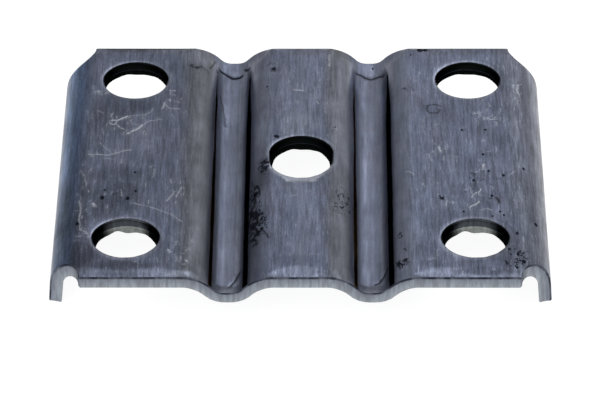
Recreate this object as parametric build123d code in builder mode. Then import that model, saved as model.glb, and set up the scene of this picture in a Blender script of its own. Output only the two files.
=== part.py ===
"""Spring tie plate: one steel sheet, pressed with two beads and folded down along its two sides.

It is drawn the right way up, standing on its two folded sides. X runs across the beads, Y along
them and Z up. The origin is on the floor, midway between the sides and between the cut ends.
"""

from build123d import *
from math import acos, cos, degrees, radians, sin
import os

# Sheet and overall sizes, in millimetres.
SHEET = 2.7  # gauge
WIDTH = 105.0  # over the feet of the two folded sides
LENGTH = 87.0  # over the two cut ends
HEIGHT = 11.2  # from the floor to the top of the lands
FOLD_INSIDE_RADIUS = 4.5
FOLD_ANGLE = 86.0  # the folds spring back, so the sides splay a little

# Two stiffening beads, pressed down from the top face.
BEAD_SPACING = 30.0
BEAD_DEPTH = 5.5
BEAD_FLOOR_WIDTH = 1.4
BEAD_SHOULDER_RADIUS = 5.8  # top face, where a land rolls over into a bead
BEAD_FLOOR_RADIUS = 3.0  # top face, where the wall runs into the floor

# Lip beyond the reach of the press tool, at each cut end, where the bead fades and the lands sag.
LIP_LENGTH = 4.5
LIP_BEAD_DEPTH = 3.95  # measured from the lands at the cut end
LIP_SHOULDER_RADIUS = 9.0  # top face at the cut end, where the shoulders roll over more softly
LIP_SAG = 0.45

# Four U-bolt holes and an oblong hole in the middle for the head of the spring's centre bolt.
BOLT_SPACING_X = 73.0
BOLT_SPACING_Y = 60.0
BOLT_HOLE_DIAMETER = 13.8
CENTRE_HOLE_WIDTH = 13.3
CENTRE_HOLE_LENGTH = 15.7

# Edges left by the punch: rolled over where it enters, torn wider where the slug breaks away.
PUNCH_ROLL = 0.5
PUNCH_SHEAR_BAND = 1.3
PUNCH_TEAR_ANGLE = 6.0

# Round relief that frees the fold at each corner of the blank, centred on the line of the cut end.
RELIEF_SPACING = 104.6
RELIEF_RADIUS = 6.5

# Sizes that follow from the ones above.
fold_outside_radius = FOLD_INSIDE_RADIUS + SHEET
fold_angle = radians(FOLD_ANGLE)
foot_rise = SHEET * cos(fold_angle)  # a foot is square to its leaning side, so it bears on one edge
side_height = HEIGHT - fold_outside_radius * (1 - cos(fold_angle)) - foot_rise
side_length = side_height / sin(fold_angle)
land_edge = WIDTH / 2 - fold_outside_radius * sin(fold_angle) - side_length * cos(fold_angle)
pressed_length = LENGTH - 2 * LIP_LENGTH


def bead_wall_angle(depth, shoulder_radius):
    """Steepest slope, in degrees, of two tangent arcs that together fall by this depth."""
    return degrees(acos(1 - depth / (shoulder_radius + BEAD_FLOOR_RADIUS)))


def flank_width(slope, shoulder_radius):
    """Width of those two arcs, from the edge of a land to the flat floor of the bead."""
    return (shoulder_radius + BEAD_FLOOR_RADIUS) * sin(radians(slope))


def sheet_section(land_height, bead_depth, shoulder_radius):
    """Section across the beads: the top face from the middle outwards, then the gauge below it."""
    slope = bead_wall_angle(bead_depth, shoulder_radius)
    flank = flank_width(slope, shoulder_radius)
    middle_edge = (BEAD_SPACING - BEAD_FLOOR_WIDTH) / 2 - flank
    with BuildSketch() as section:
        with BuildLine():
            middle = Line((0, land_height), (middle_edge, land_height))
            shoulder_in = JernArc(middle @ 1, middle % 1, shoulder_radius, -slope)
            floor_in = JernArc(shoulder_in @ 1, shoulder_in % 1, BEAD_FLOOR_RADIUS, slope)
            floor = Line(floor_in @ 1, floor_in @ 1 + Vector(BEAD_FLOOR_WIDTH, 0))
            floor_out = JernArc(floor @ 1, floor % 1, BEAD_FLOOR_RADIUS, slope)
            shoulder_out = JernArc(floor_out @ 1, floor_out % 1, shoulder_radius, -slope)
            land = Line(shoulder_out @ 1, (land_edge, land_height))
            fold = JernArc(land @ 1, land % 1, fold_outside_radius, -FOLD_ANGLE)
            Line(fold @ 1, fold @ 1 + side_length * (fold % 1))
            mirror(about=Plane.YZ)
            offset(amount=-SHEET, side=Side.RIGHT)
        make_face()
    return section.sketch


pressed_section = sheet_section(HEIGHT, BEAD_DEPTH, BEAD_SHOULDER_RADIUS)
cut_end_section = sheet_section(HEIGHT - LIP_SAG, LIP_BEAD_DEPTH, LIP_SHOULDER_RADIUS)

with BuildSketch() as punched_holes:
    with GridLocations(BOLT_SPACING_X, BOLT_SPACING_Y, 2, 2):
        Circle(BOLT_HOLE_DIAMETER / 2)
    SlotOverall(CENTRE_HOLE_LENGTH, CENTRE_HOLE_WIDTH, rotation=90)

with BuildPart() as tie_plate:
    # The pressed length, between the two lips.
    with BuildSketch(Plane.XZ.offset(-pressed_length / 2)):
        add(pressed_section)
    extrude(amount=pressed_length)

    # The lips, where the pressed section eases into the one at the cut end.
    for end in (-1, 1):
        with BuildSketch(Plane.XZ.offset(end * pressed_length / 2)):
            add(pressed_section)
        with BuildSketch(Plane.XZ.offset(end * LENGTH / 2)):
            add(cut_end_section)
        loft(ruled=True)

    # Corner reliefs, which leave each folded side shorter than the plate.
    with GridLocations(RELIEF_SPACING, LENGTH, 2, 2):
        Cylinder(RELIEF_RADIUS, 2 * HEIGHT + 2 * SHEET, mode=Mode.SUBTRACT)

    # Punched holes: a straight wall, the rim that the punch rolled over, and the torn lower wall.
    with BuildSketch(Plane.XY.offset(HEIGHT)):
        add(punched_holes.sketch)
    extrude(amount=-HEIGHT, mode=Mode.SUBTRACT)
    fillet(tie_plate.edges(Select.LAST).group_by(Axis.Z)[-1], radius=PUNCH_ROLL)
    with BuildSketch(Plane.XY.offset(HEIGHT - PUNCH_ROLL - PUNCH_SHEAR_BAND)):
        add(punched_holes.sketch)
    extrude(amount=-SHEET, taper=-PUNCH_TEAR_ANGLE, mode=Mode.SUBTRACT)

tie_plate.part.label = "tie_plate"
os.makedirs("parts", exist_ok=True)
export_step(tie_plate.part, "parts/tie_plate.step")
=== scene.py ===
"""Looks of a spring tie plate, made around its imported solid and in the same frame.

The solid's node is replaced by one finely meshed sheet of the same form and place. That sheet is
laid out flat first, as the blank was, in "across" and "along" millimetres, and is then pressed and
folded point by point. What the material needs to know about a place, such as a mark of the press, is
kept at the same points in named attributes.
"""

import math
from collections import namedtuple

import bpy
import numpy as np
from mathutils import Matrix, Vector
from mathutils.geometry import delaunay_2d_cdt
from mathutils.kdtree import KDTree


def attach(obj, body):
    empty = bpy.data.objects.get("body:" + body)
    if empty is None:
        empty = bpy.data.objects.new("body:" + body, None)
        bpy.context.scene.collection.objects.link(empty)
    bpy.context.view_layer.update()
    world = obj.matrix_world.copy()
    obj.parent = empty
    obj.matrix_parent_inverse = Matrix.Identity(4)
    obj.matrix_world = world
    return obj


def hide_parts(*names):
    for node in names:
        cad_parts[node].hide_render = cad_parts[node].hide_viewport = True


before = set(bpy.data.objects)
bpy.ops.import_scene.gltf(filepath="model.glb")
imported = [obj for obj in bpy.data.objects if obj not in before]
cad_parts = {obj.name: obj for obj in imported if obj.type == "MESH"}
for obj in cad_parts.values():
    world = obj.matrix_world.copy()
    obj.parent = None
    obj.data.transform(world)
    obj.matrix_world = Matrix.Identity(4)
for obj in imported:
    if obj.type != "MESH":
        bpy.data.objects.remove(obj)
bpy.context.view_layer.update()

MM = 0.001

# -------- sizes, in millimetres

SHEET = 2.7
WIDTH = 105
LENGTH = 87
HEIGHT = 11.2
FOLD_OUTSIDE_RADIUS = 7.2
FOLD_ANGLE = math.radians(86)

BEAD_CENTRE = 15
BEAD_FLOOR_HALF = 0.7
BEAD_FLOOR_RADIUS = 3
BEAD_DEPTH = 5.5
SHOULDER_RADIUS = 5.8
LIP_BEAD_DEPTH = 3.95
LIP_SHOULDER_RADIUS = 9
LIP_SAG = 0.45

# How far along the plate the beads start to fade and the lands to sag: 39 in the solid.
FADE_START_BACK = 38.7
FADE_START_FRONT = 39.5
SAG_START_MIDDLE = 39.7
SAG_START_OUTER = 40.4
SAG_START_IN_BEADS = 39.2

BOLT_HOLE_X = 36.5
BOLT_HOLE_Y = 30
BOLT_HOLE_RADIUS = 6.9
CENTRE_HOLE_RADIUS = 6.65
CENTRE_HOLE_STRAIGHT = 1.2  # half the straight part of its sides

RELIEF_CENTRE = 52.3
RELIEF_RADIUS = 6.5

PUNCH_ROLL = 0.5
SHEAR_BAND = 1.3
TEAR_SLOPE = math.tan(math.radians(6))

# Fine forms that the solid leaves out.
CUT_END_ROLL = 0.28
BEAD_STRETCH = 0.2  # how much thinner the sheet is at the floor of a bead
BURR = 0.50  # how far the torn edge of a hole hangs below the sheet
DRAWN_IN = 0.14  # how far the punch drew the face down round a hole
WAVES = ((0.035, 13, 21, 3), (0.012, 3.1, 7.3, 4))  # depth, width, length, seed
WORN_RIM_TIP = -9.3  # front of the centre hole's worn rim
WORN_RIM_DEPTH = 0.10
PIT_DEPTH = 0.05
SCRATCH_DEPTH = 0.02

# The black line of painted shade in each wall of a bead: how far from its centre line.
LEFT_CREASE = 3.565
RIGHT_CREASE = 3.75

HALF_LENGTH = LENGTH / 2
FOOT_RISE = SHEET * math.cos(FOLD_ANGLE)
SIDE_LENGTH = (HEIGHT - FOLD_OUTSIDE_RADIUS * (1 - math.cos(FOLD_ANGLE)) - FOOT_RISE) / math.sin(FOLD_ANGLE)
LAND_EDGE = WIDTH / 2 - FOLD_OUTSIDE_RADIUS * math.sin(FOLD_ANGLE) - SIDE_LENGTH * math.cos(FOLD_ANGLE)
FOLD_END = LAND_EDGE + FOLD_OUTSIDE_RADIUS * FOLD_ANGLE
BLANK_EDGE = FOLD_END + SIDE_LENGTH
FOLD_END_X = LAND_EDGE + FOLD_OUTSIDE_RADIUS * math.sin(FOLD_ANGLE)

# A punched hole: centre, radius, half its straight part, how black its wall is with painted shade, how
# far its front rim is smeared inwards and how far its torn edge leans in.
Hole = namedtuple("Hole", "x y radius straight black smear lean")
HOLES = [
    Hole(-BOLT_HOLE_X, -BOLT_HOLE_Y, BOLT_HOLE_RADIUS, 0, 0, 0.45, 0.45),
    Hole(BOLT_HOLE_X, -BOLT_HOLE_Y, BOLT_HOLE_RADIUS, 0, 0, 0.5, 0.45),
    Hole(-BOLT_HOLE_X, BOLT_HOLE_Y, BOLT_HOLE_RADIUS, 0, 1, 0, 0.1),
    Hole(BOLT_HOLE_X, BOLT_HOLE_Y, BOLT_HOLE_RADIUS, 0, 1, 0, 0),
    Hole(0, 0, CENTRE_HOLE_RADIUS, CENTRE_HOLE_STRAIGHT, 1, 0.6, 0.5),
]

# The mesh: where its rows are closer, and how far its points lie apart and from edges and marks.
BEAD_ROWS_START = 5.2
BEAD_ROWS_END = 25.2
LIP_ROWS_START = 37
FOLD_SPACING = 0.55
END_SPACING = 0.62
SIDE_SPACING = 0.8
GRID_FROM_EDGE = 0.62
GRID_FROM_HOLE = 3.3
GRID_FROM_MARKS = 0.35
MARKS_FROM_EDGE = 0.55
MARKS_FROM_HOLE = 2.2
MARKS_APART = 0.1
TEAR_STEP = 0.7  # step of a torn wall's noise from point to point
HOLE_POINTS = 104  # round each hole
HOLE_RINGS = (0.4, 0.9, 1.5, 2.2)  # gaps from a rolled rim to the rings of points round it

# Marks of the press tool's ends across the beads: (half width, depth, points).
TOOL_MARKS = [
    (0.38, 0.14, [(-18.2, 39.5), (-17.2, 39.9), (-16.2, 39.3), (-15.3, 38.7), (-14.5, 38.7), (-13.2, 39.4)]),
    (0.35, 0.12, [(-12.7, 40.9), (-12.2, 40.2), (-11.5, 39.9)]),
    (0.28, 0.1, [(-19.3, 40.6), (-19.8, 38.6), (-20.3, 36)]),
    (0.33, 0.11, [(12.2, 39.2), (13.1, 39.5), (14.2, 38.8), (15.4, 38.5), (17, 39), (17.7, 38.3),
                  (18.4, 37)]),
    (0.33, 0.1, [(-14.9, -40.4), (-14.2, -38.9), (-13.3, -37.1), (-12.6, -35)]),
    (0.35, 0.1, [(15.6, -38.9), (16.5, -38.4), (17.2, -37), (17.9, -35.2)]),
]

# Soft patches on the top face: (across, along, half width, half length, strength).
DARK_PATCHES = [
    (-41, 17, 6, 13, 0.42), (-37, 19.5, 9, 4, 0.42), (-39, -6.5, 8, 4.5, 0.4), (-43.5, -17, 7, 9, 0.42),
    (-36, -17.5, 5, 4, 0.3), (-45.5, -36, 5, 8, 0.66), (-37, -39.8, 10, 2.8, 0.66),
    (-8.2, -6, 2.6, 9, 0.45), (46, -27, 6, 22, 0.5), (43, -33, 5.5, 14, 0.62), (43.5, 5, 3.6, 60, 0.21),
    (-3, -37.5, 6, 3, 0.2), (-51, -28, 5, 13, 0.55), (-49.5, -16, 5, 9, 0.35), (-38.5, -14, 5, 9, 0.48),
    (-46.6, -22, 3.4, 9, 0.62), (-44.4, -32, 2.6, 5, 0.4), (-21, -5, 4, 70, 0.12),
    (-51, -22, 3.8, 24, 0.68), (9.4, -17, 2.6, 10, 0.3), (34, -5, 11, 70, 0.2), (46.3, 5, 2.8, 60, 0.3),
    (42, -18, 4, 12, 0.2), (-38, 42.5, 7.5, 2.4, 0.42), (39, -41.4, 10, 2.2, 0.7),
    (33, -38.9, 15, 2.4, 0.34), (-37, -42.3, 8, 1.6, 0.4),
]
# Some bright patches are painted light: on the shoulders beside the right bead and along the front lip.
BRIGHT_PATCHES = [
    (-0.5, 13, 5, 7, 0.4), (0, 27, 8, 24, 0.1), (9.6, 20, 2.2, 34, 0.36), (9.6, -22, 1.8, 26, 0.14),
    (7.6, 12, 2.4, 22, 0.15), (-8.8, -19, 2.4, 15, 0.14), (10.4, 10, 1.5, 22, 0.52),
    (-20, 0, 1.4, 70, 0.18), (-0.5, -11.5, 4, 5, 0.12), (0.5, -22, 2.6, 10, 0.12), (-34, 7, 5, 7, 0.14),
    (-29, 42, 3, 1.8, 0.2), (30, -18, 1.6, 2.6, 0.2), (-22, 40, 7, 5, 0.24),
    (-24.5, -42.5, 4.5, 1.5, 0.8), (-14.5, -42.6, 3.6, 2, 0.6), (14.5, -42.6, 3.6, 2, 0.5),
]

# Places speckled with black scale and dirt, drawn the same way.
SPECKLED = [
    (-9.7, -20, 2.9, 18, 0.92), (-8.6, -24, 3, 9, 0.88), (-9.4, -12, 2.4, 5, 0.86),
    (-8, -2.6, 2.3, 5.5, 0.92), (-8, -7.5, 2.2, 4, 0.6), (-23.5, 35.3, 2.9, 1.9, 0.75),
    (-18.6, 37.6, 1.6, 1.6, 0.7), (-6.4, 34.3, 1.6, 1.9, 0.85), (-5.3, 7.8, 1.3, 1.5, 0.85),
    (21.2, -38, 2.4, 3, 0.88), (21, -27.5, 1.6, 2.6, 0.7), (22.6, 26.6, 1.4, 1.2, 0.7),
    (29.9, -15.2, 1.9, 2.4, 0.8), (28.7, 18.5, 2.4, 3, 0.45), (45, -37, 5.5, 7, 0.68),
    (7.3, 11, 1.6, 7, 0.62), (8.6, -16, 4, 10, 0.68), (39, -10, 8, 20, 0.52), (-39, -13, 7, 9, 0.52),
    (-34, -37, 9, 4, 0.38), (42, 30, 6, 14, 0.34),
]

# Bright scratches on the lands: (half width, strength, points).
SCRATCHES = [
    (0.34, 1, [(-41.4, 13.9), (-40, 14), (-38.6, 14.8), (-37.8, 15.5)]),
    (0.28, 0.7, [(-41.5, 13), (-41, 12.3), (-40.3, 12.6), (-40, 13.6)]),
    (0.28, 0.7, [(-39.8, 12.3), (-39.2, 11.2), (-38.4, 10.7)]),
    (0.22, 0.4, [(-37.8, 15.7), (-34, 16.2), (-32.6, 17.7), (-32.2, 18.8)]),
    (0.39, 1, [(-37.5, 8.9), (-36.1, 10.2), (-35.1, 11), (-34.3, 12.1)]),
    (0.25, 0.5, [(-34.3, 12.1), (-33, 13.8), (-30.9, 14.3)]),
    (0.28, 0.8, [(-30.2, 18.8), (-29.9, 20.9)]),
    (0.22, 0.5, [(-29.6, 20.2), (-28.8, 18.9), (-26.6, 18.5)]),
    (0.25, 0.7, [(-45.6, 1), (-41, 0.6), (-39.5, 1.6), (-37.3, 2.6)]),
    (0.2, 0.4, [(-43.2, 5.2), (-42, 3.4), (-40.8, 1.7)]),
    (0.42, 0.7, [(-44.7, 25.6), (-44.2, 24.9)]),
    (0.36, 0.7, [(-29.1, 25.6), (-27.8, 25.7)]),
    (0.34, 0.6, [(-46.8, -16.5), (-46.2, -19), (-46.5, -22), (-46.4, -24.4)]),
    (0.42, 0.8, [(-43.8, -17.4), (-43.5, -18.3)]),
    (0.31, 0.35, [(-46.9, -5.2), (-45.8, -8.4), (-45.5, -10.8)]),
    (0.28, 0.55, [(-28.3, -16.5), (-27.5, -14.9), (-26.9, -13.3)]),
    (0.28, 0.55, [(-26.3, -14.7), (-25.7, -12.8), (-25.2, -11)]),
    (0.21, 0.5, [(-35.6, -17.2), (-32, -18.5), (-29.6, -20), (-27, -21.5), (-25, -23.9)]),
    (0.36, 0.55, [(-46.1, -26.8), (-45.2, -27.6), (-44.5, -28.4)]),
    (0.36, 0.8, [(-27.4, -34.2), (-27.2, -34.8)]),
    (0.32, 0.7, [(-23.7, -37.8), (-23.5, -38.4)]),
    (0.26, 0.6, [(40.4, 14.8), (41.4, 14.4), (42.2, 15.3)]),
    (0.22, 0.5, [(38.3, 17), (38.9, 16.2)]),
    (0.31, 0.6, [(47.6, 28.6), (47.3, 26.6), (47.6, 24.9)]),
    (0.36, 0.8, [(29.6, 3.9), (29.9, 2.2)]),
    (0.36, 0.4, [(22.3, -5.3), (23, -5.6), (23.9, -6.2)]),
    (0.32, 0.7, [(35.7, -18.8), (36.9, -17.7), (38, -16.6)]),
    (0.25, 0.7, [(36.2, -14.9), (36.8, -13.8), (37.8, -13), (38.1, -11.9)]),
    (0.34, 0.8, [(39, -3), (38.9, -4.4)]),
    (0.31, 0.8, [(-1.6, 26), (0.6, 25.7)]),
    (0.39, 0.5, [(6.1, 39.9), (6, 35.2)]),
]

# Areas strewn with short scratches: (how many, left, right, front, back, the longest, strength).
SCRATCHED_AREAS = [
    (60, -47, -25, -39, 40, 2.4, 0.5),
    (26, -5.5, 5, -39, 40, 2, 0.4),
    (40, 26, 45, -39, 40, 2.4, 0.5),
    (18, -42, -33.5, 8, 16.5, 1.2, 0.75),
    (9, -46, -42.5, 22, 27, 0.9, 0.9),
    (7, -30.5, -25.5, 20, 28, 0.9, 0.8),
    (16, -47.5, -44, -26, 2, 1, 0.7),
    (12, -29, -24, -18, -9, 1.4, 0.6),
    (12, -28, -22.5, -40, -31, 1, 0.7),
    (9, -47, -43, -31, -25, 1, 0.9),
    (18, 37.5, 44, 12.5, 18, 0.9, 0.6),
    (9, 46, 48.5, 22, 30, 0.9, 0.5),
    (14, 27.5, 31.5, -1, 6, 1, 0.35),
    (10, 35, 40, -20, -10, 1, 0.6),
    (12, -3, 4, 20, 30, 0.8, 0.7),
]

# Dark scores and scuffs, drawn like the scratches.
SCORES = [
    (0.27, 0.8, [(-17.9, 30), (-17.3, 27), (-16.9, 23.2), (-16.6, 19)]),
    (0.24, 0.7, [(-18.9, 26.5), (-19.3, 20), (-19.2, 13)]),
    (0.43, 1, [(-10, -11.5), (-9.7, -14), (-9.9, -16.5)]),
    (0.57, 1, [(-9.9, -18.6), (-9.4, -19.6), (-9.2, -22), (-9, -24)]),
    (0.46, 1, [(-10, -24.6), (-9.2, -26.4), (-8.7, -28.2)]),
    (0.35, 0.9, [(-8.4, -25.8), (-7.4, -27.6), (-6.9, -29.6)]),
    (0.41, 0.9, [(-9.9, -28.2), (-9.3, -29.6), (-8.9, -31)]),
    (0.32, 0.8, [(-10.4, -7), (-9.8, -10.5)]),
    (0.43, 1, [(-8.2, 0), (-7.5, -0.9), (-7.2, -2.1)]),
    (0.35, 0.8, [(-8.6, -4.4), (-8, -5.1), (-7.1, -4.7)]),
    (0.41, 0.8, [(-24.5, 35.7), (-23.6, 35.1), (-22.6, 35.5)]),
    (0.3, 0.6, [(-21.9, 35.6), (-20.9, 35.2), (-20.4, 34)]),
    (0.32, 0.7, [(-7.6, 36.1), (-6.8, 36.8)]),
    (0.49, 0.9, [(-6.7, 34.5), (-6.1, 33.8)]),
    (0.3, 0.6, [(22, 26.8), (22.7, 27), (22.8, 26.4)]),
    (0.36, 0.8, [(27.3, 18.9), (27.3, 17.6), (28.2, 16.8), (29.6, 16.9), (30.2, 18.2)]),
    (0.34, 0.8, [(27.8, 19.9), (29.1, 20.4), (30.1, 19.7)]),
    (0.46, 1, [(41.4, -15.3), (41.7, -16.2), (42, -17.2)]),
    (0.41, 0.9, [(47.8, -38.9), (47.1, -39.7), (46.4, -41)]),
    (0.35, 0.9, [(20, -36.8), (20.4, -38), (21.3, -38.5)]),
    (0.35, 0.9, [(21.4, -37.2), (22.2, -38.4)]),
    (0.32, 0.9, [(21.6, -33), (22, -33.9)]),
    (0.32, 0.5, [(-43.5, 43.1), (-37, 43.2), (-24, 43.1)]),
    (0.22, 0.4, [(7.4, -19.8), (9.4, -18.6), (10.6, -18)]),
]

# Single pits and stains: (across, along, radius), narrower and longer than round.
SPOT_NARROWING = 1.25
SPOT_STRETCH = 0.8
SPOTS = [
    (26.2, 42.3, 1.1), (27.4, 42.5, 0.9), (15.7, 41.8, 0.35), (24.1, 40.1, 0.35), (34.7, 10.3, 0.45),
    (39.8, 10.4, 0.45), (39, 1, 0.5), (43.1, -6.9, 0.55), (47.6, -3.8, 0.55), (36.7, -8.8, 0.5),
    (40, -5.3, 0.45), (40.4, -14.5, 0.5), (34.3, -20.3, 0.4), (41.9, -20.3, 0.4), (40.2, -22, 0.45),
    (42.7, -21.6, 0.4), (49.8, -23, 0.7), (45.2, -28.2, 0.6), (43.4, -33.8, 0.6), (45.2, -35.6, 0.5),
    (46.3, -38.2, 0.75), (44.8, -40.4, 0.5), (-42, -15.3, 0.8), (-41.6, -12.4, 0.4), (-36.6, -15.5, 0.7),
    (-35, -12.8, 0.45), (-35.4, -5.8, 0.45), (-46.9, -24.5, 0.6), (-5.3, 7.8, 0.7), (-7.6, 27.6, 0.35),
]

# Colours as a surface shows them, in linear light.
STEEL = (0.12, 0.141, 0.206)
VIOLET = (0.127, 0.139, 0.2)
OLIVE = (0.112, 0.118, 0.14)
BLUED = (0.07, 0.106, 0.196)
BLUED_EDGE = (0.84, 0.91, 1)  # tint of the blued steel's glancing reflections
# Rubbed steel; also painted highlights round the holes, on the front lip and along the beads.
RUBBED_AND_SHEEN = (0.29, 0.318, 0.4)
# Dark scale; also painted shade beside each bead's right line and in the shade stripes along the beads.
SCALE = (0.026, 0.03, 0.044)
# Near black painted shade along the lines in the bead walls.
CREASE_SHADE = (0.0015, 0.002, 0.0022)
RUST = (0.08, 0.046, 0.018)
# Brownish painted shade beside the left line of each bead.
BROWN_CREASE_SHADE = (0.088, 0.062, 0.04)
SCRATCHED = (0.5, 0.53, 0.6)
PIT = (0.008, 0.009, 0.014)
SHEAR = (0.056, 0.062, 0.07)
TORN = (0.3, 0.32, 0.31)
# Painted shade in the hole walls, nearly black.
HOLE_WALL_SHADE = (0.004, 0.005, 0.005)
CUT_TOP = (0.165, 0.182, 0.225)
# Lighter foot of a cut end: a painted reflection of the floor.
CUT_FOOT_REFLECTION = (0.3, 0.325, 0.36)
UNDERSIDE = (0.085, 0.092, 0.115)
WHITE = (1, 1, 1)
BLACK = (0, 0, 0)

FLOOR_GREY = (0.3, 0.3, 0.3)
FLOOR_GLOW = 0.93
FLOOR_HALF = 3  # metres
WORLD_LIGHT = 0.5

# The photograph's view: the camera's place in millimetres, its turns in degrees and its lens.
CAMERA_PLACE = (4.94, -759.16, 530.61)
CAMERA_TURN = (54.963, 0.124, 0.208)
CAMERA_LENS = 252.5

# -------- the form of the sheet


def ramp(value, start, end):
    """Smooth step from 0 at start to 1 at end, either way round."""
    t = np.clip((value - start) / (end - start), 0, 1)
    return t * t * (3 - 2 * t)


def value_noise(across, along, cell_across, cell_along, seed):
    """Smooth seeded noise between -1 and 1, with cells of this size in millimetres."""
    grid = np.random.RandomState(seed).uniform(-1, 1, (160, 160))
    u = across / cell_across + 70.37
    v = along / cell_along + 70.71
    iu = np.floor(u).astype(int) % 159
    iv = np.floor(v).astype(int) % 159
    fu = ramp(u - np.floor(u), 0, 1)
    fv = ramp(v - np.floor(v), 0, 1)
    low = grid[iu, iv] * (1 - fu) + grid[iu + 1, iv] * fu
    high = grid[iu, iv + 1] * (1 - fu) + grid[iu + 1, iv + 1] * fu
    return low * (1 - fv) + high * fv


def bead_drop(distance, depth, shoulder_radius):
    """How far the top face lies below the lands, at this distance from a bead's centre line."""
    slope = np.arccos(1 - depth / (shoulder_radius + BEAD_FLOOR_RADIUS))
    floor_arc_end = BEAD_FLOOR_HALF + BEAD_FLOOR_RADIUS * np.sin(slope)
    shoulder_end = floor_arc_end + shoulder_radius * np.sin(slope)
    into_floor_arc = np.clip(distance - BEAD_FLOOR_HALF, 0, BEAD_FLOOR_RADIUS)
    floor_drop = depth - BEAD_FLOOR_RADIUS + np.sqrt(BEAD_FLOOR_RADIUS**2 - into_floor_arc**2)
    into_shoulder = np.clip(shoulder_end - distance, 0, shoulder_radius)
    shoulder_drop = shoulder_radius - np.sqrt(shoulder_radius**2 - into_shoulder**2)
    return np.where(distance < floor_arc_end, floor_drop, shoulder_drop)


def bead_lip(along):
    """0 inside the reach of the press tool and 1 at the cut end, in and beside the beads."""
    start = np.where(along > 0, FADE_START_BACK, FADE_START_FRONT)
    return np.clip((np.abs(along) - start) / (HALF_LENGTH - start), 0, 1)


def land_lip(across, along):
    """The same for the sag of the lands, whose lip is a crescent that runs out at the shoulders."""
    middle = SAG_START_MIDDLE + 3.2 * np.clip(np.abs(across) / 6.8, 0, 1) ** 2
    outer = SAG_START_OUTER + 2.5 * ramp(np.abs(across), 28.5, 22.5)
    start = np.where(np.abs(across) < BEAD_CENTRE, middle, outer)
    in_bead = ramp(np.abs(np.abs(across) - BEAD_CENTRE), 8.6, 6)
    start = start + (SAG_START_IN_BEADS - start) * in_bead
    return np.clip((np.abs(along) - start) / (HALF_LENGTH - start), 0, 1)


def top_height(across, along):
    """Height of the top face over the lands and the beads."""
    lip = bead_lip(along)
    depth = BEAD_DEPTH + (LIP_BEAD_DEPTH - BEAD_DEPTH) * lip
    shoulder_radius = SHOULDER_RADIUS + (LIP_SHOULDER_RADIUS - SHOULDER_RADIUS) * lip
    drop = bead_drop(np.abs(np.abs(across) - BEAD_CENTRE), depth, shoulder_radius)
    return HEIGHT - LIP_SAG * land_lip(across, along) - drop


def base_point(across, along):
    """A point of the top face before its small marks: its x and its z."""
    side = np.sign(across)
    beyond = np.clip(np.abs(across) - LAND_EDGE, 0, None)
    turn = np.clip(beyond / FOLD_OUTSIDE_RADIUS, 0, FOLD_ANGLE)
    down_side = np.clip(np.abs(across) - FOLD_END, 0, None)
    on_land = np.clip(across, -LAND_EDGE, LAND_EDGE)
    x = on_land + side * (FOLD_OUTSIDE_RADIUS * np.sin(turn) + down_side * math.cos(FOLD_ANGLE))
    fall = FOLD_OUTSIDE_RADIUS * (1 - np.cos(turn)) + down_side * math.sin(FOLD_ANGLE)
    return x, top_height(on_land, along) - fall


def face_normal(across, along):
    """The top face's normal in the plane of the section: its x and its z."""
    step = 0.02
    x0, z0 = base_point(across - step, along)
    x1, z1 = base_point(across + step, along)
    length = np.hypot(x1 - x0, z1 - z0)
    return -(z1 - z0) / length, (x1 - x0) / length


def hole_distance(across, along, hole):
    """Distance from the edge of a hole, negative inside it."""
    beyond_straight = np.clip(np.abs(along - hole.y) - hole.straight, 0, None)
    return np.hypot(across - hole.x, beyond_straight) - hole.radius


def nearest_hole(across, along):
    return np.min([hole_distance(across, along, hole) for hole in HOLES], axis=0)


def roughened(lines, seed):
    """Drawn lines as an unsteady tool would leave them."""
    random = np.random.RandomState(seed)
    rough = []
    for half_width, amount, points in lines:
        swayed = [points[0]]
        for (x0, y0), (x1, y1) in zip(points, points[1:]):
            steps = max(1, round(math.hypot(x1 - x0, y1 - y0) / 0.9))
            for i in range(1, steps + 1):
                sway_x, sway_y = random.uniform(-0.12, 0.12, 2)
                swayed.append((x0 + (x1 - x0) * i / steps + sway_x, y0 + (y1 - y0) * i / steps + sway_y))
        rough.append((half_width, amount, swayed))
    return rough


def fine_scratches(areas, seed):
    """Short scratches strewn over the lands, most of them along the plate."""
    random = np.random.RandomState(seed)
    lines = []
    for count, left, right, front, back, longest, strength in areas:
        for x, y in zip(random.uniform(left, right, count), random.uniform(front, back, count)):
            turn = random.normal(0, 0.12) if random.uniform() < 0.7 else random.uniform(-1.4, 1.4)
            length = random.uniform(0.3, longest)
            end = (x + length * math.sin(turn), y + length * math.cos(turn))
            amount = strength * random.uniform(0.4, 1)
            lines.append((random.uniform(0.12, 0.20), amount, [(x, y), end]))
    return lines


tool_marks = roughened(TOOL_MARKS, 41)
scratches = roughened(SCRATCHES, 42) + fine_scratches(SCRATCHED_AREAS, 51)
scores = roughened(SCORES, 43)


def line_distance(across, along, points):
    """Distance from a line through these points."""
    nearest = np.full(np.shape(across), 1e9)
    for (x0, y0), (x1, y1) in zip(points, points[1:]):
        span = (x1 - x0) ** 2 + (y1 - y0) ** 2
        t = np.clip(((across - x0) * (x1 - x0) + (along - y0) * (y1 - y0)) / span, 0, 1)
        nearest = np.minimum(nearest, np.hypot(across - x0 - t * (x1 - x0), along - y0 - t * (y1 - y0)))
    return nearest


def lines_mask(across, along, lines):
    """The strongest mark of any of these lines: its amount in the middle, and 0 at its edges."""
    amount = np.zeros(np.shape(across))
    for half_width, most, points in lines:
        distance = line_distance(across, along, points)
        amount = np.maximum(amount, most * np.clip(1.1 - distance / half_width, 0, 1))
    return amount


def spots_mask(across, along):
    """Single pits and stains, from 0 to 1."""
    amount = np.zeros(np.shape(across))
    for x, y, radius in SPOTS:
        reach = np.hypot(SPOT_NARROWING * (across - x), SPOT_STRETCH * (along - y)) / radius
        amount = np.maximum(amount, np.clip(1.9 - 1.9 * reach, 0, 1))
    return amount


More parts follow.
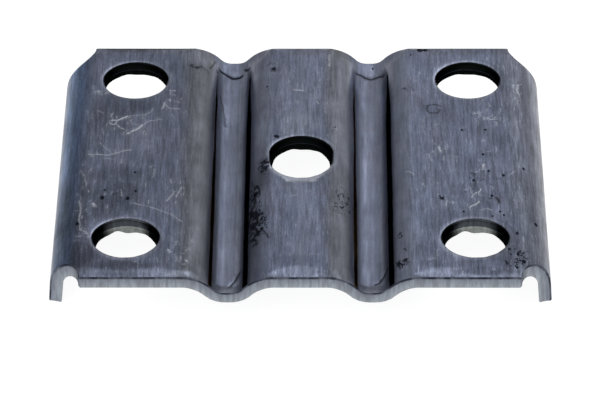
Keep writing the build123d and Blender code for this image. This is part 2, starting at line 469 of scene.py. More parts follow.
def worn_rim(across, along):
    """The wide worn rim at the front of the centre hole, which ends in a blunt V."""
    outer_edge = WORN_RIM_TIP + 1.45 * np.clip(np.abs(across) - 2.9, 0, None)
    near = ramp(hole_distance(across, along, HOLES[-1]), 3.4, 2.4)
    return ramp(along, outer_edge - 0.1, outer_edge + 0.5) * ramp(along, -1.5, -4.5) * near


def top_marks(across, along):
    """How far the worked top face lies below the plain one: never above it."""
    waviness = sum(depth * (1 + value_noise(across, along, *cell)) / 2 for depth, *cell in WAVES)
    drawn_in = DRAWN_IN * np.exp(-np.clip(nearest_hole(across, along), 0, None) / 0.9)
    cuts = SCRATCH_DEPTH * lines_mask(across, along, scratches)
    cuts = cuts + SCRATCH_DEPTH * lines_mask(across, along, scores)
    pits = PIT_DEPTH * spots_mask(across, along)
    worn = WORN_RIM_DEPTH * worn_rim(across, along)
    return waviness + drawn_in + worn + cuts + pits + lines_mask(across, along, tool_marks)


def relief_end(x):
    """How far along the plate the sheet reaches at this x, short of the corner reliefs."""
    inside = RELIEF_RADIUS**2 - (x - RELIEF_CENTRE) ** 2
    return HALF_LENGTH - np.sqrt(np.clip(inside, 0, None))


def sheet_point(across, along, depth):
    """A point of the sheet at this depth below its top face, in millimetres.

    A hole's wall stands upright, and so does a corner relief's, so points near them are moved
    along the sheet as they go down through it.
    """
    x, z = base_point(across, along)
    normal_x, normal_z = face_normal(across, along)
    stretch = BEAD_STRETCH * ramp(np.abs(np.abs(across) - BEAD_CENTRE), 6, 1) * depth / SHEET
    down = depth - stretch
    upright = ramp(nearest_hole(across, along), 2.5, 0.5)
    steep = np.clip(normal_z, 0.3, 1)
    move_x = normal_x * (1 - upright)
    move_z = normal_z + (1 / steep - normal_z) * upright
    marks = top_marks(across, along) * (1 - depth / SHEET)
    inside_x = np.abs(x) - depth * np.abs(normal_x) * (np.abs(across) > LAND_EDGE)
    end_here = relief_end(np.abs(x))
    end_below = relief_end(inside_x)
    reach = ramp(np.abs(along), end_here - 9, end_here)
    slide = np.sign(along) * (end_below - end_here) * reach
    place_x = x - normal_x * marks - move_x * down
    place_z = z - marks * normal_z - move_z * down
    return np.stack([place_x, along + slide, place_z], -1)


# -------- the blank: outline, holes and points


def blank_corner():
    """The outline of one corner of the blank, from the cut end round the relief to the foot."""
    turns = np.linspace(0, math.pi / 2, 34)
    x = RELIEF_CENTRE - RELIEF_RADIUS * np.cos(turns)
    x = x[x < FOLD_END_X]
    round_relief = LAND_EDGE + FOLD_OUTSIDE_RADIUS * np.arcsin((x - LAND_EDGE) / FOLD_OUTSIDE_RADIUS)
    down_side = np.linspace(FOLD_END, BLANK_EDGE, 9)
    side_x = FOLD_END_X + (down_side - FOLD_END) * math.cos(FOLD_ANGLE)
    across = np.concatenate([round_relief, down_side])
    along = relief_end(np.concatenate([x, side_x]))
    return np.stack([across, along], -1)


def blank_outline():
    """The outline of the whole blank, anticlockwise."""
    corner = blank_corner()
    relief_start = corner[0, 0]
    side_end = corner[-1, 1]
    end_points = np.arange(-relief_start, relief_start, END_SPACING)[1:]
    side_points = np.arange(-side_end, side_end, SIDE_SPACING)[1:]
    front = np.stack([end_points, np.full(len(end_points), -HALF_LENGTH)], -1)
    right = np.stack([np.full(len(side_points), BLANK_EDGE), side_points], -1)
    front_right = corner * (1, -1)
    back_right = corner[::-1]
    half = np.concatenate([front, front_right, right, back_right])
    return np.concatenate([half, -half])


def hole_outline(hole):
    """The outline of a hole, and the direction from it into the material."""
    turns = np.linspace(0, 2 * math.pi, HOLE_POINTS, endpoint=False) + math.pi / HOLE_POINTS
    outward = np.stack([np.cos(turns), np.sin(turns)], -1)
    straight = hole.straight * np.sign(np.sin(turns))
    centre = np.stack([np.full(HOLE_POINTS, hole.x), hole.y + straight], -1)
    smeared = hole.smear * ramp(-outward[:, 1], -0.1, 0.9)
    smeared = smeared * (1 + 0.12 * value_noise(turns, 0 * turns, 0.22, 1, 61))
    return centre + (hole.radius - smeared)[:, None] * outward, outward


def unit(vectors):
    return vectors / np.linalg.norm(vectors, axis=1)[:, None]


def into_material(outline):
    """The way into the material at each point of an anticlockwise outline, longer at a corner."""
    before = unit(outline - np.roll(outline, 1, 0))
    after = unit(np.roll(outline, -1, 0) - outline)
    forward = before + after
    inward = unit(np.stack([-forward[:, 1], forward[:, 0]], -1))
    half_turn = np.clip(inward[:, 0] * -before[:, 1] + inward[:, 1] * before[:, 0], 0.6, 1)
    return inward / half_turn[:, None]


def spaced(*stretches):
    """Evenly spaced places in stretches of (start, end, how many), without the last one's end."""
    return np.concatenate([np.linspace(*stretch, endpoint=False) for stretch in stretches])


def both_ways(places):
    """The places mirrored about the first one, which is 0."""
    return np.concatenate([-places[:0:-1], places])


def grid_points():
    """Points over the blank, closer together in the beads, the folds and the lips."""
    folds = np.arange(LAND_EDGE, BLANK_EDGE, FOLD_SPACING)
    middle = (0, BEAD_ROWS_START, 5)
    bead = (BEAD_ROWS_START, BEAD_ROWS_END, 53)
    land = (BEAD_ROWS_END, LAND_EDGE, 18)
    across = both_ways(np.concatenate([spaced(middle, bead, land), folds]))
    along = both_ways(spaced((0, LIP_ROWS_START, 35), (LIP_ROWS_START, HALF_LENGTH, 15)))
    return np.stack([places.ravel() for places in np.meshgrid(across, along)], -1)


def line_points(lines, rows):
    """Closer points along drawn lines, in rows this many half widths from their middle."""
    points = []
    for half_width, _, line in lines:
        for (x0, y0), (x1, y1) in zip(line, line[1:]):
            length = math.hypot(x1 - x0, y1 - y0)
            normal = np.array([y0 - y1, x1 - x0]) / length
            for t in np.arange(0, 1, 0.3 / length):
                middle = np.array([x0 + t * (x1 - x0), y0 + t * (y1 - y0)])
                points += [middle + normal * half_width * row for row in rows]
    return np.array(points)


def spot_points():
    """Closer points in and round each single spot, on rings a little out of round."""
    random = np.random.RandomState(44)
    points = []
    for x, y, radius in SPOTS:
        points.append((x, y))
        for ring, count in ((0.45, 6), (0.8, 9), (1.1, 11)):
            for turn in np.arange(count) * 2 * math.pi / count + random.uniform(0, 1):
                reach = radius * ring * random.uniform(0.8, 1.2)
                off_x = reach * math.cos(turn) / SPOT_NARROWING
                off_y = reach * math.sin(turn) / SPOT_STRETCH
                points.append((x + off_x, y + off_y))
    return np.array(points)


def clear_of_edges(points, gap):
    """Which points lie on the blank and at least this far from its outline."""
    x = np.abs(base_point(*points.T)[0])
    across, along = np.abs(points).T
    to_relief = np.hypot(x - RELIEF_CENTRE, along - HALF_LENGTH) - RELIEF_RADIUS
    on_blank = (along < HALF_LENGTH - gap) & (across < BLANK_EDGE - gap) & (to_relief > gap)
    return on_blank & ((across < FOLD_END) | (along < relief_end(x) - gap))


def far_from(points, others, gap):
    """Which points lie at least this far from all the others."""
    tree = KDTree(len(others))
    for number, (x, y) in enumerate(others):
        tree.insert((x, y, 0), number)
    tree.balance()
    return np.array([tree.find((x, y, 0))[2] > gap for x, y in points])


def spread_out(points, gap):
    """Drops points that crowd an earlier one."""
    cells = np.round(points / gap).astype(int)
    _, first = np.unique(cells, axis=0, return_index=True)
    return points[np.sort(first)]


# -------- the mesh


def rolled_rows(roll):
    """The first rows of a wall, down the rounded rim of this radius."""
    return [(roll * (1 - math.sin(t)), roll * (1 - math.cos(t)), 1, 0) for t in (0.45, 0.95)]


def hole_profile():
    """Rows down a punched wall: (distance into the material, depth, burnished, torn), top to bottom."""
    band_end = PUNCH_ROLL + SHEAR_BAND
    torn_depths = np.linspace(band_end + 0.12, SHEET - 0.05, 4)
    torn = [((d - band_end) * TEAR_SLOPE + 0.02, d, 0, 1) for d in torn_depths]
    burr_inset = (SHEET - band_end) * TEAR_SLOPE
    burr = [(burr_inset, SHEET + BURR, 0, 1), (burr_inset + 0.12, SHEET + BURR * 0.8, 0, 0.8)]
    foot = (burr_inset + 0.3, SHEET, 0, 0.5)
    band = [(0, PUNCH_ROLL, 1, 0), (0, band_end, 1, 0)]
    return rolled_rows(PUNCH_ROLL) + band + torn + burr + [foot]


def cut_profile():
    """The same for the blank's sheared outline, whose rim is rolled over less."""
    depths = np.linspace(CUT_END_ROLL + 0.22, SHEET - 0.3, 5)
    sheared = [(0.02 * (i % 2), depth, 0, 0) for i, depth in enumerate(depths)]
    band = [(0, CUT_END_ROLL, 1, 0)]
    return rolled_rows(CUT_END_ROLL) + band + sheared + [(0.06, SHEET - 0.1, 0, 0)]


def tear_roughness(index, depth, seed):
    """Uneven break of the torn part of a wall, and how far its upper line wanders."""
    place = (index * TEAR_STEP, np.full(len(index), depth))
    return 0.045 * value_noise(*place, 3, 0.6, seed) + 0.03 * value_noise(*place, 0.8, 0.3, seed + 1)


# What a wall tells the material: burnished, torn, how black with painted shade, and whether it is a cut end.
MARK_NAMES = ("band", "torn", "black", "cut")


class SheetMesh:
    """Gathers the sheet's points and faces, and what the material reads at each point."""

    def __init__(self):
        self.points = []
        self.places = []
        self.faces = []
        self.count = 0

    def add(self, across, along, depth, **marks):
        """Adds a row of points with their marks (see MARK_NAMES) and returns their numbers."""
        size = len(across)
        depth = np.zeros(size) + depth
        self.points.append(sheet_point(across, along, depth))
        columns = [across, along, depth] + [np.zeros(size) + marks.get(name, 0) for name in MARK_NAMES]
        self.places.append(np.stack(columns, -1))
        numbers = np.arange(self.count, self.count + size)
        self.count += size
        return numbers

    def wall(self, outline, inward, profile, top, bottom, seed, black=0, rim=1, cut=0, lean=0):
        """Joins the edges of the top and bottom faces by the rows of a sheared wall."""
        rows = [top]
        index = np.arange(len(outline))
        unsteady = (1 - 0.6 * black) * value_noise(index * TEAR_STEP, 0 * index, 4, 1, seed + 5)
        for inset, depth, band, torn in profile:
            into = np.clip(inset + tear_roughness(index, depth, seed) * torn, 0, None)
            leaning = lean * torn * ramp(depth, SHEET - 0.4, SHEET + BURR) * (1 + 0.5 * unsteady)
            place = outline + inward * (into - leaning)[:, None]
            hang = np.clip(depth - SHEET, 0, None) * unsteady
            # On the rolled rim the band shows only where rim is 1, at a hole's far side: painted shade that
            # widens the hole's dark crescent.
            shown = band * rim if depth < PUNCH_ROLL else band
            rows.append(self.add(*place.T, depth + hang, band=shown, torn=torn, black=black, cut=cut))
        rows.append(bottom)
        for upper, lower in zip(rows, rows[1:]):
            quads = [upper, lower, np.roll(lower, -1), np.roll(upper, -1)]
            self.faces += np.stack(quads, -1).tolist()


def inner_points(holes):
    """Points inside the blank: rings round the holes, rows along the marks, and a grid elsewhere."""
    rings = [rim + outward * (PUNCH_ROLL + gap) for rim, outward in holes for gap in HOLE_RINGS]
    tool_points = line_points(tool_marks, (-1, -0.5, 0, 0.5, 1))
    marks = np.concatenate([tool_points, line_points(scratches + scores, (-1, 0, 1)), spot_points()])
    marks = spread_out(marks[clear_of_edges(marks, MARKS_FROM_EDGE)], MARKS_APART)
    marks = marks[nearest_hole(*marks.T) > MARKS_FROM_HOLE]
    grid = grid_points()
    grid = grid[clear_of_edges(grid, GRID_FROM_EDGE) & (nearest_hole(*grid.T) > GRID_FROM_HOLE)]
    return np.concatenate([*rings, marks, grid[far_from(grid, marks, GRID_FROM_MARKS)]])


def flat_triangles(loops, inner):
    """The flat blank with its holes: its points, its triangles and the numbers of each loop."""
    loop_points = np.concatenate(loops)
    ends = np.cumsum([len(loop) for loop in loops])[:-1]
    orders = np.split(np.arange(len(loop_points)), ends)
    edges = np.concatenate([np.stack([order, np.roll(order, -1)], -1) for order in orders])
    flat = [Vector(p) for p in np.concatenate([loop_points, inner]).tolist()]
    points, _, triangles, origins, _, _ = delaunay_2d_cdt(flat, edges.tolist(), [], 1, 1e-5)
    numbering = {source: new for new, sources in enumerate(origins) for source in sources}
    numbers = np.array([numbering[i] for i in range(len(loop_points))])
    points = np.array([p[:] for p in points])
    triangles = np.array(triangles)
    on_rim = np.zeros(len(points), bool)
    on_rim[numbers[ends[0]:]] = True
    return points, triangles[~on_rim[triangles].all(1)], np.split(numbers, ends)


def make_sheet():
    """Meshes the flat blank once, for both its top and its bottom face."""
    outline = blank_outline()
    inward = into_material(outline)
    holes = [hole_outline(hole) for hole in HOLES]
    loops = [outline + inward * CUT_END_ROLL] + [rim + outward * PUNCH_ROLL for rim, outward in holes]
    points, triangles, (edge, *rims) = flat_triangles(loops, inner_points(holes))

    sheet = SheetMesh()
    top = sheet.add(*points.T, 0)
    bottom = sheet.add(*points.T, SHEET)
    sheet.faces += top[triangles].tolist()
    sheet.faces += bottom[triangles[:, ::-1]].tolist()
    sheet.wall(outline, inward, cut_profile(), top[edge], bottom[edge], seed=11, cut=1)
    for hole, (rim, outward), numbers in zip(HOLES, holes, rims):
        # Backwards, because a hole's wall faces inwards.
        rim, outward, numbers = rim[::-1], outward[::-1], numbers[::-1]
        # Painted shade: the sides of every hole's wall are blackened, and the whole wall where hole.black is
        # 1.
        black = np.maximum(hole.black, ramp(np.abs(outward[:, 0]), 0.35, 0.75))
        # rim: painted shade, the wall's dark colour reaching up the rolled rim on the far side only.
        looks = {"black": black, "rim": ramp(outward[:, 1], -0.3, 0.2), "lean": hole.lean}
        sheet.wall(rim, outward, hole_profile(), top[numbers], bottom[numbers], seed=23, **looks)
    return sheet


# -------- the masks


def smudges(across, along, places):
    """The strongest of several soft oval patches, place by place."""
    amount = np.zeros(np.shape(across))
    for x, y, half_width, half_length, strength in places:
        reach = np.hypot((across - x) / half_width, (along - y) / half_length)
        amount = np.maximum(amount, strength * ramp(reach, 1, 0.35))
    return amount


def bead_side(across):
    """Place across the nearer bead, from its centre line: negative on its left."""
    return across - BEAD_CENTRE * np.sign(across)


def stripe(from_bead, middle, half_width):
    """A soft stripe along a bead."""
    return np.exp(-(((from_bead - middle) / half_width) ** 2))


def scale_and_shade_mask(across, along, dirty, wander):
    """Dark scale in smudges, a darker band on each bead's right shoulder, and painted shade in two stripes
    along each bead.
    """
    from_bead = bead_side(across)
    right_shoulder = ramp(from_bead + wander, 8.4 + 1.2 * dirty, 4.2) * ramp(from_bead, 3, 4)
    return np.maximum.reduce([
        (0.08 + 0.34 * dirty) * right_shoulder,
        smudges(across + wander, along, DARK_PATCHES),
        # Painted shade: two stripes along each bead, on its left shoulder and on its floor.
        0.33 * stripe(from_bead, -7.3, 1.3),
        0.25 * stripe(from_bead, -1.7, 0.45),
    ])


def olive_mask(across, wander):
    """Olive steel: on the left flank of each bead and along the right fold."""
    from_bead = bead_side(across)
    left_flank = ramp(from_bead + wander, np.where(across < 0, -14, -11.5), -8)
    return np.maximum(left_flank * ramp(from_bead, -3.6, -5), 0.7 * ramp(across + 2 * wander, 42, 46.5))


def bright_mask(across, along, dirty, wander):
    """Lighter steel: painted highlights round the holes and on the front lip, painted light in stripes along
    the beads, the worn rim, and patches, some rubbed and some painted.
    """
    from_bead = bead_side(across)
    on_middle = np.abs(across) < BEAD_CENTRE
    # Painted highlight on the rolled rim of each hole.
    rim_highlight = ramp(nearest_hole(across, along) + 0.4 * wander, 1.3, 0.5) * np.where(on_middle, 0.6, 0.45)
    # Painted highlight on the sagging front lip.
    lip = ramp(land_lip(across, along) * ramp(np.abs(from_bead), 6.5, 8), 0, 0.12) * (along < 0)
    bead_floor = ramp(from_bead, -2, -0.8) * ramp(from_bead, 3.3, 2.6)
    return np.maximum.reduce([
        rim_highlight,
        0.22 * lip,
        # Painted light along the beads: on their floors, left walls and right shoulders.
        bead_floor * (0.18 + 0.24 * ramp(from_bead, 1.4, 2.4)),
        0.3 * ramp(from_bead, -3.4, -2.9) * ramp(from_bead, -2, -2.5),
        0.42 * (across < 0) * stripe(from_bead, 1.45, 0.35),
        0.24 * (1 - dirty) * ramp(from_bead, 4.6, 6.6) * ramp(from_bead, 9.2, 8),
        worn_rim(across, along),
        smudges(across + wander, along, BRIGHT_PATCHES),
    ])


def surface_masks(across, along, depth, band, torn, black, cut):
    """What the material reads at each point, each from 0 to 1."""
    on_wall = np.clip(band + torn + cut, 0, 1)
    on_face = np.clip(1 - depth / PUNCH_ROLL, 0, 1) * (1 - torn)
    dirty = (across < 0) * ramp(along, 6, -6)
    wander = 0.6 * value_noise(across, along, 2.5, 9, 31)
    far_edge = 0.9 * ramp(along, 42.5, 43.1) * ramp(np.abs(across + 34), 13, 9)
    on_top = {
        "scale_and_shade": scale_and_shade_mask(across, along, dirty, wander),
        "olive": olive_mask(across, wander),
        "bright": bright_mask(across, along, dirty, wander),
        "speckled": smudges(across + 0.5 * wander, along, SPECKLED),
        "blued": 0.95 * ramp(across, -45.5, -49) * ramp(across, -55.5, -51.5),
        "scratch": np.maximum(lines_mask(across, along, scratches), 0.5 * worn_rim(across, along)),
        "score": np.maximum(lines_mask(across, along, scores), far_edge),
        "spot": spots_mask(across, along),
        "mark": np.clip(lines_mask(across, along, tool_marks) / 0.09, 0, 1),
        "worked": ramp(np.abs(bead_side(across)), 9.5, 6.5),
        "face": 1,
    }
    masks = {name: mask * on_face for name, mask in on_top.items()}
    masks.update(band=band, torn=torn, black=black, cut=cut)
    masks["low"] = np.clip(depth / SHEET, 0, 1)
    masks["below"] = (depth > SHEET - 0.001) * (on_wall == 0)
    return masks


def add_object(name, data):
    thing = bpy.data.objects.new(name, data)
    bpy.context.scene.collection.objects.link(thing)
    return thing


def make_piece(sheet):
    """The sheet as a Blender object, smooth but for its sheared corners, with its masks."""
    mesh = bpy.data.meshes.new("spring_tie_plate")
    mesh.from_pydata((np.concatenate(sheet.points) * MM).tolist(), [], sheet.faces)
    masks = surface_masks(*np.concatenate(sheet.places).T)
    for name, values in masks.items():
        attribute = mesh.attributes.new(name, "FLOAT", "POINT")
        attribute.data.foreach_set("value", values.astype(np.float32))
    mesh.shade_smooth()
    mesh.set_sharp_from_angle(angle=math.radians(38))
    return add_object("spring_tie_plate", mesh)


# -------- the steel


class Nodes:
    """Adds the nodes of a material or of the world, and gives back their outputs."""

    def __init__(self, owner):
        owner.use_nodes = True
        self.tree = owner.node_tree
        self.tree.nodes.clear()

    def add(self, kind, inputs=None, **settings):
        """A node, with its inputs linked to outputs or set to a number, a place or a colour."""
        node = self.tree.nodes.new("ShaderNode" + kind)
        for name, value in settings.items():
            setattr(node, name, value)
        for name, value in (inputs or {}).items():
            socket = node.inputs[name]
            if isinstance(value, bpy.types.NodeSocket):
                self.tree.links.new(value, socket)
            else:
                socket.default_value = (*value, 1) if socket.type == "RGBA" else value
        return node

    def math(self, operation, first, second=0, third=0, clamp=False):
        inputs = {0: first, 1: second, 2: third}
        return self.add("Math", inputs, operation=operation, use_clamp=clamp).outputs[0]

    def product(self, first, second):
        return self.math("MULTIPLY", first, second)

    def total(self, first, second):
        return self.math("ADD", first, second)

    def highest(self, first, second):
        return self.math("MAXIMUM", first, second)

    def times(self, vector, factor):
        """A place, or a colour, times a number."""
        return self.add("VectorMath", {0: vector, "Scale": factor}, operation="SCALE").outputs[0]

    def parts(self, vector):
        return self.add("SeparateXYZ", {0: vector}).outputs

    def mask(self, name):
        return self.add("Attribute", attribute_name=name).outputs["Fac"]

    def noise(self, place, stretch, detail=2, rough=0.5):
        """Noise from 0 to 1, with this many cells per millimetre in x, y and z."""
        stretched = self.add("VectorMath", {0: place, 1: stretch}, operation="MULTIPLY").outputs[0]
        inputs = {"Vector": stretched, "Scale": 1, "Detail": detail, "Roughness": rough}
        return self.add("TexNoise", inputs).outputs["Fac"]

    def step(self, value, start, end, low=0, high=1):
        """Goes smoothly from low to high as the value goes from start to end."""
        inputs = {"Value": value, "From Min": start, "From Max": end, "To Min": low, "To Max": high}
        return self.add("MapRange", inputs, interpolation_type="SMOOTHSTEP").outputs["Result"]

    def mix(self, factor, first, second):
        """Mixes two colours."""
        inputs = {"Factor": factor, 6: first, 7: second}
        return self.add("Mix", inputs, data_type="RGBA").outputs[2]


def rolled_tone(nodes, x, streaks, wide_streaks, mottle, grain):
    """How light or dark the rolled and rubbed face is from place to place, with painted shade that darkens
    it towards the left.
    """
    tone = nodes.step(streaks, 0.28, 0.72, 0.66, 1.34)
    tone = nodes.product(tone, nodes.step(grain, 0.25, 0.75, 0.83, 1.17))
    evened = nodes.product(nodes.math("SUBTRACT", tone, 1), nodes.mask("worked"))
    tone = nodes.math("SUBTRACT", tone, nodes.product(evened, 0.6))
    tone = nodes.product(tone, nodes.step(wide_streaks, 0.3, 0.7, 0.88, 1.12))
    tone = nodes.product(tone, nodes.step(mottle, 0.3, 0.7, 0.84, 1.14))
    # Painted shade: darker towards the left side of the plate.
    return nodes.product(tone, nodes.step(x, -52, 30, 0.86, 1))


def face_colour(nodes, place, streaks, tone):
    """The rolled face: its hue, its tinted places and its bright flecks."""
    hue = nodes.step(nodes.noise(place, (0.22, 0.1, 0.22), 3, 0.6), 0.35, 0.65)
    colour = nodes.times(nodes.mix(hue, STEEL, VIOLET), tone)
    olive = nodes.mask("olive")
    ragged = nodes.math("MULTIPLY_ADD", nodes.math("SUBTRACT", streaks, 0.5), 0.5, olive, clamp=True)
    colour = nodes.mix(nodes.product(ragged, olive), colour, nodes.times(OLIVE, tone))
    for name, tint in (("blued", BLUED), ("bright", RUBBED_AND_SHEEN), ("scale_and_shade", SCALE)):
        colour = nodes.mix(nodes.mask(name), colour, nodes.times(tint, tone))
    flecks = nodes.step(nodes.noise(place, (2.4, 0.38, 2.4), 2, 0.7), 0.59, 0.74, 0, 0.42)
    unworked = nodes.math("SUBTRACT", nodes.mask("face"), nodes.mask("worked"), clamp=True)
    return nodes.mix(nodes.product(flecks, unworked), colour, nodes.times(RUBBED_AND_SHEEN, tone))


def bead_crease_shade(nodes, place, x, y, colour):
    """Paints a black line of shade in each wall of the beads, the left one mixed with rust, with darker
    painted shade beside each. Returns the colour and where the lines are.
    """
    wobble = nodes.math("MULTIPLY_ADD", nodes.noise(place, (0.5, 0.1, 0.5), 3, 0.6), 0.4, -0.2)
    bead = nodes.math("SIGN", x)
    side = nodes.total(nodes.math("MULTIPLY_ADD", bead, -BEAD_CENTRE, x), wobble)
    from_left = nodes.total(nodes.math("MULTIPLY_ADD", bead, -0.115, side), LEFT_CREASE)
    from_right = nodes.math("SUBTRACT", nodes.math("MULTIPLY_ADD", bead, -0.2, side), RIGHT_CREASE)
    taper = nodes.step(y, 16, 37, 0, 0.4)
    thinned = nodes.highest(nodes.step(y, -12, 12, 0.06, 0.2), taper)
    off_left = nodes.total(nodes.math("ABSOLUTE", from_left), thinned)
    off_right = nodes.total(nodes.math("ABSOLUTE", from_right), taper)
    reach = nodes.product(nodes.step(y, 38.2, 35), nodes.mask("face"))
    # Painted shade beside each line: brownish at the left line, dark at the right line.
    near_left = nodes.product(nodes.step(off_left, 0.95, 0.35, 0, 0.55), reach)
    near_left = nodes.product(near_left, nodes.step(y, 8, -14, 0.4, 1))
    near_right = nodes.product(nodes.step(off_right, 1.4, 0.5, 0, 0.55), reach)
    colour = nodes.mix(near_left, colour, BROWN_CREASE_SHADE)
    colour = nodes.mix(near_right, colour, SCALE)
    left = nodes.product(nodes.step(off_left, 0.58, 0.22), reach)
    right = nodes.product(nodes.step(off_right, 0.72, 0.33), reach)
    rusty = nodes.step(nodes.noise(place, (0.6, 0.12, 0.6), 3, 0.6), 0.35, 0.65, 0.3, 1)
    rusty = nodes.product(rusty, nodes.math("MULTIPLY_ADD", bead, 0.3, 0.7))
    # The lines themselves: painted shade, the left one mixed with rust.
    colour = nodes.mix(left, colour, nodes.mix(rusty, CREASE_SHADE, RUST))
    colour = nodes.mix(right, colour, CREASE_SHADE)
    return colour, nodes.highest(left, right)


def face_marks(nodes, place, colour):
    """Scratches, scores, dirt and tool marks. Returns the colour, the scratches and the pits."""
    face = nodes.mask("face")
    worn_thin = nodes.step(nodes.noise(place, (1.9, 1.5, 1.9), 3, 0.7), 0.36, 0.54, 0.3, 1)
    scratched = nodes.product(nodes.mask("scratch"), nodes.product(worn_thin, face))
    colour = nodes.mix(scratched, colour, SCRATCHED)
    colour = nodes.mix(nodes.product(nodes.mask("score"), face), colour, PIT)
    dirt = nodes.noise(place, (1.3, 0.85, 1.3), 5, 0.75)
    dirt = nodes.math("MULTIPLY_ADD", nodes.mask("speckled"), 0.34, dirt)
    dirt = nodes.product(nodes.step(dirt, 0.76, 0.82), face)
    pits = nodes.highest(nodes.step(nodes.mask("spot"), 0.15, 0.75), dirt)
    colour = nodes.mix(nodes.product(pits, 0.9), colour, PIT)
    colour = nodes.mix(nodes.mask("mark"), colour, PIT)
    return colour, scratched, pits


def wall_colour(nodes, place, colour):
    """Colours the sheared walls: dark bands over torn steel in the holes, painted shade that blackens parts
    of the hole walls, and light cut ends whose foot is lightened by a painted reflection.
    """
    streaked = nodes.step(nodes.noise(place, (1.6, 1.6, 0.25), 2, 0.6), 0.3, 0.7, 0.8, 1.2)
    for name, tint in (("band", SHEAR), ("torn", TORN)):
        bare_or_shaded = nodes.mix(nodes.mask("black"), nodes.times(tint, streaked), HOLE_WALL_SHADE)
        colour = nodes.mix(nodes.mask(name), colour, bare_or_shaded)
    # The cut face grows lighter towards its foot: a painted reflection of the floor.
    cut_face = nodes.times(nodes.mix(nodes.mask("low"), CUT_TOP, CUT_FOOT_REFLECTION), streaked)
    broken = nodes.step(nodes.noise(place, (0.3, 0.3, 0.3), 3, 0.6), 0.35, 0.6, 0.3, 1)
    cut_face = nodes.mix(nodes.product(nodes.mask("band"), broken), cut_face, SCALE)
    return nodes.mix(nodes.mask("cut"), colour, cut_face)


def steel_roughness(nodes, streaks, mottle, scratched, pits):
    """Rougher under the scale-and-shade mask, on dirt and on torn steel, and smoother in a scratch."""
    roughness = nodes.step(mottle, 0.3, 0.7, 0.4, 0.3)
    roughness = nodes.total(roughness, nodes.step(streaks, 0.3, 0.7, 0.04, -0.04))
    for mark, rise in ((nodes.mask("scale_and_shade"), 0.12), (nodes.mask("torn"), 0.2), (pits, 0.25)):
        roughness = nodes.total(roughness, nodes.product(mark, rise))
    return nodes.math("SUBTRACT", roughness, nodes.product(scratched, 0.08), clamp=True)


def steel_bump(nodes, streaks, grain, mottle):
    """The fine relief of rolled steel, too small for the mesh."""
    height = nodes.product(streaks, 0.5)
    height = nodes.total(height, nodes.product(grain, 0.35))
    height = nodes.total(height, nodes.product(mottle, 0.8))
    inputs = {"Strength": 0.5, "Distance": 0.03 * MM, "Height": height}
    return nodes.add("Bump", inputs).outputs["Normal"]


def glancing_tint(nodes, crease_shade, pits):
    """Tint of the glancing reflections: bluish on the left fold, none off the painted shade in the hole
    walls and bead creases, and less off pits and dirt.
    """
    on_wall = nodes.highest(nodes.mask("band"), nodes.mask("torn"))
    shaded_wall = nodes.product(nodes.mask("black"), on_wall)
    dull = nodes.highest(shaded_wall, nodes.highest(crease_shade, nodes.product(pits, 0.6)))
    return nodes.mix(dull, nodes.mix(nodes.mask("blued"), WHITE, BLUED_EDGE), BLACK)


def steel_material():
    """Bare pressed steel, with its streaks, scale, scratches, pits and rust, painted highlights round the
    holes and along the beads, and painted shade in the bead creases and hole walls.
    """
    material = bpy.data.materials.new("pressed_steel")
    nodes = Nodes(material)
    place = nodes.times(nodes.add("TexCoord").outputs["Object"], 1 / MM)
    x, y, _ = nodes.parts(place)

    streaks = nodes.noise(place, (1.8, 0.13, 1.8), 3, 0.65)
    wide_streaks = nodes.noise(place, (0.55, 0.05, 0.55), 2, 0.5)
    mottle = nodes.noise(place, (0.14, 0.11, 0.14), 4, 0.6)
    grain = nodes.noise(place, (4.2, 0.9, 4.2), 3, 0.6)
    tone = rolled_tone(nodes, x, streaks, wide_streaks, mottle, grain)

    colour = face_colour(nodes, place, streaks, tone)
    colour, crease_shade = bead_crease_shade(nodes, place, x, y, colour)
    colour, scratched, pits = face_marks(nodes, place, colour)
    colour = wall_colour(nodes, place, colour)
    colour = nodes.mix(nodes.mask("below"), colour, nodes.times(UNDERSIDE, tone))

    shader = nodes.add("BsdfPrincipled", {
        "Metallic": 1,
        "Base Color": colour,
        "Roughness": steel_roughness(nodes, streaks, mottle, scratched, pits),
        "Specular Tint": glancing_tint(nodes, crease_shade, pits),
        "Normal": steel_bump(nodes, streaks, grain, mottle),
    })
    nodes.add("OutputMaterial", {"Surface": shader.outputs["BSDF"]})
    return material


# -------- floor, light and camera


def seen_directly(nodes):
    """1 for camera rays and for those mirrored or passed on by metal and glass."""
    path = nodes.add("LightPath")
    either = nodes.highest(path.outputs["Is Camera Ray"], path.outputs["Is Glossy Ray"])
    return nodes.highest(either, path.outputs["Is Transmission Ray"])


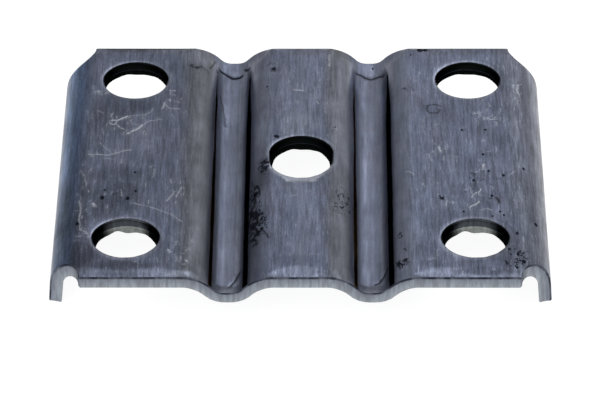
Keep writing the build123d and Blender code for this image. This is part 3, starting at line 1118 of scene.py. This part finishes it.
def make_floor():
    """A plain pale floor, nearly white where it is seen, that still takes a faint shadow."""
    mesh = bpy.data.meshes.new("studio_floor")
    corners = [(FLOOR_HALF * x, FLOOR_HALF * y, 0) for x, y in ((-1, -1), (1, -1), (1, 1), (-1, 1))]
    mesh.from_pydata(corners, [], [(0, 1, 2, 3)])
    material = bpy.data.materials.new("pale_floor")
    nodes = Nodes(material)
    matte = nodes.add("BsdfDiffuse", {"Color": FLOOR_GREY})
    glow = nodes.add("Emission", {"Strength": nodes.product(seen_directly(nodes), FLOOR_GLOW)})
    both = nodes.add("AddShader", {0: matte.outputs["BSDF"], 1: glow.outputs["Emission"]})
    nodes.add("OutputMaterial", {"Surface": both.outputs["Shader"]})
    mesh.materials.append(material)
    floor = add_object("studio_floor", mesh)


def make_world():
    """A plain studio: white behind the object, and soft light that falls off low and to the left."""
    world = bpy.data.worlds.new("studio")
    nodes = Nodes(world)
    x, _, z = nodes.parts(nodes.add("TexCoord").outputs["Generated"])
    reflected = nodes.math("MULTIPLY_ADD", x, 0.12, 0.65)
    reflected = nodes.math("MULTIPLY_ADD", z, 0.3, reflected, clamp=True)
    behind = nodes.add("LightPath").outputs["Is Camera Ray"]
    strength = nodes.step(seen_directly(nodes), 0, 1, WORLD_LIGHT, nodes.highest(reflected, behind))
    background = nodes.add("Background", {"Strength": strength})
    nodes.add("OutputWorld", {"Surface": background.outputs["Background"]})
    bpy.context.scene.world = world


def make_softbox(name, location, size, watts):
    """A square lamp of this size in metres, facing the object."""
    lamp = bpy.data.lights.new(name, "AREA")
    lamp.shape = "SQUARE"
    lamp.size = size
    lamp.energy = watts
    light = add_object(name, lamp)
    light.location = location
    light.rotation_euler = (-Vector(location)).to_track_quat("-Z", "Y").to_euler()


def make_camera():
    camera = bpy.data.cameras.new("camera")
    camera.sensor_width = 36
    camera.lens = CAMERA_LENS
    holder = add_object("camera", camera)
    holder.location = Vector(CAMERA_PLACE) * MM
    holder.rotation_euler = [math.radians(angle) for angle in CAMERA_TURN]
    bpy.context.scene.camera = holder


# -------- the scene

plate = make_piece(make_sheet())
plate.data.materials.append(steel_material())
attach(plate, "root")
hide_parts("tie_plate")

make_floor()
make_world()
make_softbox("key", (0.9, 1.2, 1.6), 2, 16)
make_softbox("fill", (-1.1, -1.3, 1.5), 1.6, 8)
make_camera()
bpy.context.scene.view_settings.view_transform = "Standard"
